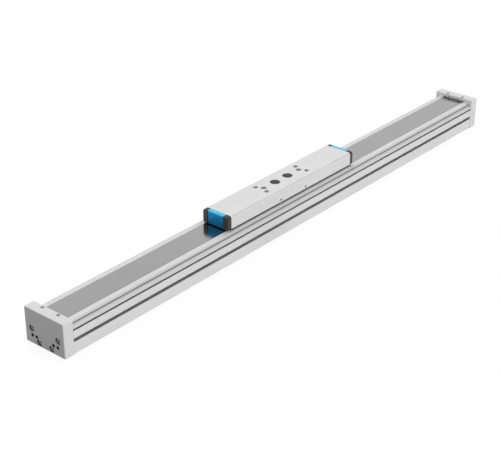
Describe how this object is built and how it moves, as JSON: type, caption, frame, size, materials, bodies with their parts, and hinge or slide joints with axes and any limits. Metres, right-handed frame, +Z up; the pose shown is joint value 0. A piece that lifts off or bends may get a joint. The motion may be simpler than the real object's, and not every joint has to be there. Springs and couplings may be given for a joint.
{
  "type": "passive guide axis",
  "caption": "Passive linear guide axis: extruded aluminium profile with an inner ball rail, steel cover strip, end plates and a long slide with capped ends.",
  "frame": {"origin": "centre of the underside of the whole axis, midway between the end plates", "axes": "+X along the travel from the near end to the far end, +Y to the back, +Z up"},
  "size_m": [0.926, 0.069, 0.064],
  "materials": {
    "anodised_profile": "clear anodised, fine lines along the extrusion",
    "anodised_plate": "clear anodised, milled",
    "anodised_slide": "clear anodised, satin",
    "milled_aluminium": "bare milled",
    "strip_steel": "rolled stainless strip, smooth",
    "ground_steel": "ground",
    "clamp_steel": "zinc plated",
    "screw_steel": "zinc plated",
    "nipple_steel": "zinc plated",
    "magnet_band": "matt",
    "buffer_rubber": "matt",
    "seal_rubber": "matt",
    "runner_plastic": "moulded",
    "black_cap": "moulded, fine grain",
    "black_plug": "moulded",
    "guide_plastic": "moulded, smooth",
    "blue_insert": "moulded, smooth",
    "wiper_felt": "felt"
  },
  "bodies": {
    "axis": {"profile": "anodised_profile", "end_plate_near": "anodised_plate", "end_plate_far": "anodised_plate", "end_plate_screws_near": "screw_steel", "end_plate_screws_far": "screw_steel", "cover_strip": "strip_steel", "strip_clamp_near": "clamp_steel", "strip_clamp_far": "clamp_steel", "strip_clamp_screws_near": "screw_steel", "strip_clamp_screws_far": "screw_steel", "guide_rail": "ground_steel", "guide_rail_screws": "screw_steel", "magnet_strip_front": "magnet_band", "magnet_strip_back": "magnet_band", "buffer_near": "buffer_rubber", "buffer_far": "buffer_rubber"},
    "carriage": {"slide_body": "anodised_slide", "saddle": "milled_aluminium", "slide_screws": "screw_steel", "runner_block_near": "ground_steel", "runner_block_far": "ground_steel", "runner_end_caps_near": "runner_plastic", "runner_end_caps_far": "runner_plastic", "runner_seals_near": "seal_rubber", "runner_seals_far": "seal_rubber", "runner_screws": "screw_steel", "slide_cap_near": "black_cap", "slide_cap_far": "black_cap", "cap_insert_near": "blue_insert", "cap_insert_far": "blue_insert", "cap_screws_near": "screw_steel", "cap_screws_far": "screw_steel", "strip_wiper_near": "wiper_felt", "strip_wiper_far": "wiper_felt", "strip_guide_near": "guide_plastic", "strip_guide_far": "guide_plastic", "strip_shoe_near": "guide_plastic", "strip_shoe_far": "guide_plastic", "side_seal_front": "seal_rubber", "side_seal_back": "seal_rubber", "cover_plugs": "black_plug", "lube_nipples": "nipple_steel"}
  },
  "joints": [
    {"name": "carriage_slide", "type": "slide", "parent": "axis", "child": "carriage", "axis": [1, 0, 0], "range_m": [-0.2885, 0.3115], "deforming": ["cover_strip"]}
  ]
}
